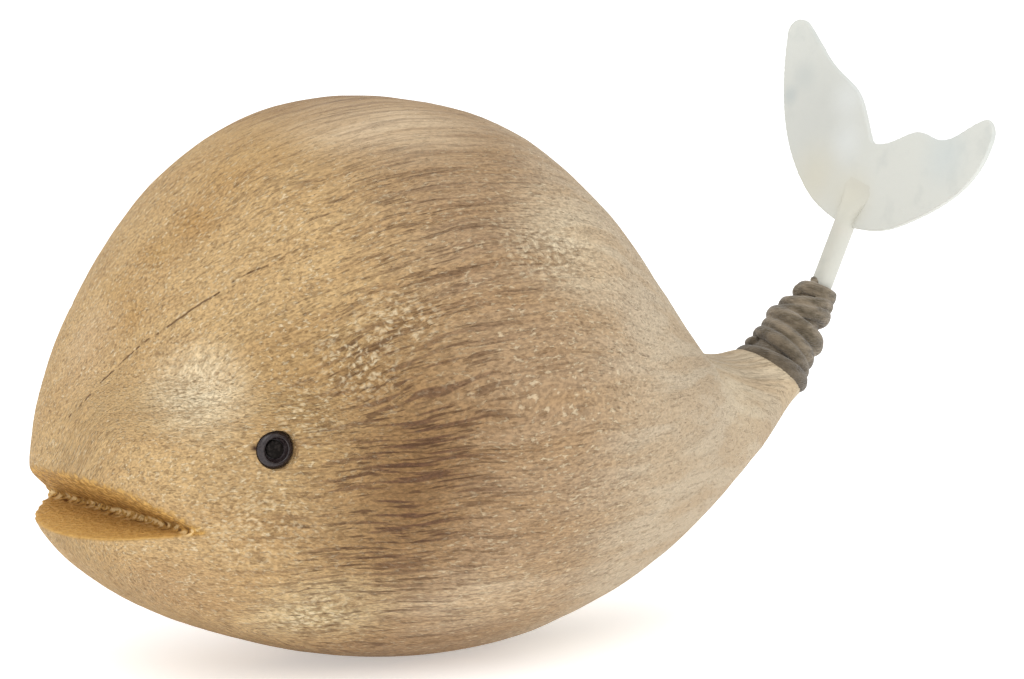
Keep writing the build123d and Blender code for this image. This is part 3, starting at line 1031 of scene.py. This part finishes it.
def strand_points(width, turns, start_turn, low, high, sink, lean, flatness, per_turn=60):
    """Middle line of a strand that winds from one height to another, leaning to one side."""
    out = Vector((stub_axis.z, 0, -stub_axis.x))
    aside = Vector((0, -1, 0))
    points = []
    count = int(turns * per_turn)
    for i in range(count + 1):
        turn = start_turn + turns * i / count
        angle = 2 * math.pi * turn
        height = low + (high - low) * i / count + lean * math.cos(angle - 2 * math.pi * lean_turn)
        radius = outer_radius(height) - width / 2 * flatness - sink
        points.append(
            stub_root + stub_axis * height + (out * math.cos(angle) + aside * math.sin(angle)) * radius
        )
    return points


def felt_strand(points, width, flatness, seed, sides=24):
    """Tube round a line, of three twisted plies, pressed flat and uneven like felted wool."""
    corners = []
    for i, point in enumerate(points):
        before, after = points[max(i - 1, 0)], points[min(i + 1, len(points) - 1)]
        heading = (after - before).normalized()
        outward = point - stub_root - stub_axis * (point - stub_root).dot(stub_axis)
        outward = (outward - heading * outward.dot(heading)).normalized()
        across = heading.cross(outward)
        swell_here = 1 + strand_unevenness * noise.noise(Vector((i * uneven_pace, seed, 0.5)))
        end_taper = min(1.0, end_share + end_growth * min(i, len(points) - 1 - i))
        for side in range(sides):
            turn = 2 * math.pi * side / sides
            ply = 1 + ply_depth * math.cos(ply_count * turn + i * ply_twist)
            reach_out = width / 2 * swell_here * end_taper * ply
            corners.append(
                point + outward * math.cos(turn) * reach_out * flatness + across * math.sin(turn) * reach_out
            )
    corners += [points[0], points[-1]]
    return new_piece("strand", corners, closed_tube_faces(len(points), sides))


strand_pieces = []
for number, strand in enumerate(strands):
    width, flatness = strand[0], strand[-1]
    line = strand_points(*strand)
    strand_pieces.append(felt_strand(line, width * strand_swelling, flatness, number * seed_step))

# A core under the turns fills the winding, so that all the strands get one closed skin
core_heights = [core_start + core_length * i / (core_rows - 1) for i in range(core_rows)]
core_corners = []
for height in core_heights:
    radius = outer_radius(height) - core_inset
    core_corners += ring_of(stub_root + stub_axis * height, stub_axis, radius, core_sides)
core_corners += [stub_root + stub_axis * core_heights[0], stub_root + stub_axis * core_heights[-1]]
strand_pieces.append(new_piece("core", core_corners, closed_tube_faces(core_rows, core_sides)))

all_corners, all_faces = [], []
for piece in strand_pieces:
    base = len(all_corners)
    all_corners += [tuple(vertex.co) for vertex in piece.data.vertices]
    all_faces += [[base + v for v in polygon.vertices] for polygon in piece.data.polygons]
    bpy.data.objects.remove(piece)
binding = new_piece("felt_binding", all_corners, all_faces)
reskin(binding, felt_voxel)
sand(binding.data, rounds=3)
felt_points = read_points(binding.data)
felt_normals = read_points(binding.data, "normal")
felt_places = felt_points / mm
lumps = 0.08 * ripple(felt_places, (1.8, 1.8, 1.8))
nap = 0.05 * ripple(felt_places, (0.6, 0.6, 0.6))
write_points(binding.data, felt_points + felt_normals * ((lumps + nap) * mm)[:, None])
binding.data.shade_smooth()

felt_light = tint(130, 117, 98)
felt_dark = tint(80, 70, 54)
felt, tree, output = new_material("felted_wool")
place = in_millimetres(tree)
round_stub = put(tree, "ShaderNodeVectorRotate", {"rotation_type": "Y_AXIS"}, {
    "Vector": place, "Center": tuple(stub_root / mm), "Angle": stub_angle - math.pi / 2 + fibre_slant,
}).outputs[0]
matted = streaked(tree, round_stub, (4.0, 4.0, 1.5), low=0.32, high=0.68)["Mask"]
fibres = streaked(tree, round_stub, (0.9, 0.9, 0.22), low=0.3, high=0.7)["Mask"]
colour = blend_colour(tree, matted, felt_dark, felt_light)
colour = stain(tree, colour, fibres, 0.22, tint(158, 146, 126))
along_stub = put(tree, "ShaderNodeVectorMath", {"operation": "DOT_PRODUCT"}, {0: place, 1: tuple(stub_axis)})
height = maths(tree, "SUBTRACT", along_stub.outputs["Value"], stub_root.dot(stub_axis) / mm)
# Painted shade on the lowest turns, down against the body
colour = stain(tree, colour, fade(tree, height, 8.0, 2.0), 0.55, tint(64, 54, 42))
felt_relief = total(tree, fibres, matted)
bump = put(tree, "ShaderNodeBump", {}, {"Height": felt_relief, "Strength": 0.7, "Distance": 0.00018})
wool = put(tree, "ShaderNodeBsdfPrincipled", {}, {
    "Base Color": colour, "Roughness": 0.95, "Specular IOR Level": 0.1, "Normal": bump.outputs[0],
    "Sheen Weight": 0.25, "Sheen Roughness": 0.6,
})
tree.links.new(wool.outputs["BSDF"], output.inputs["Surface"])
binding.data.materials.append(felt)
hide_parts("tail_binding")
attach(binding, "root")
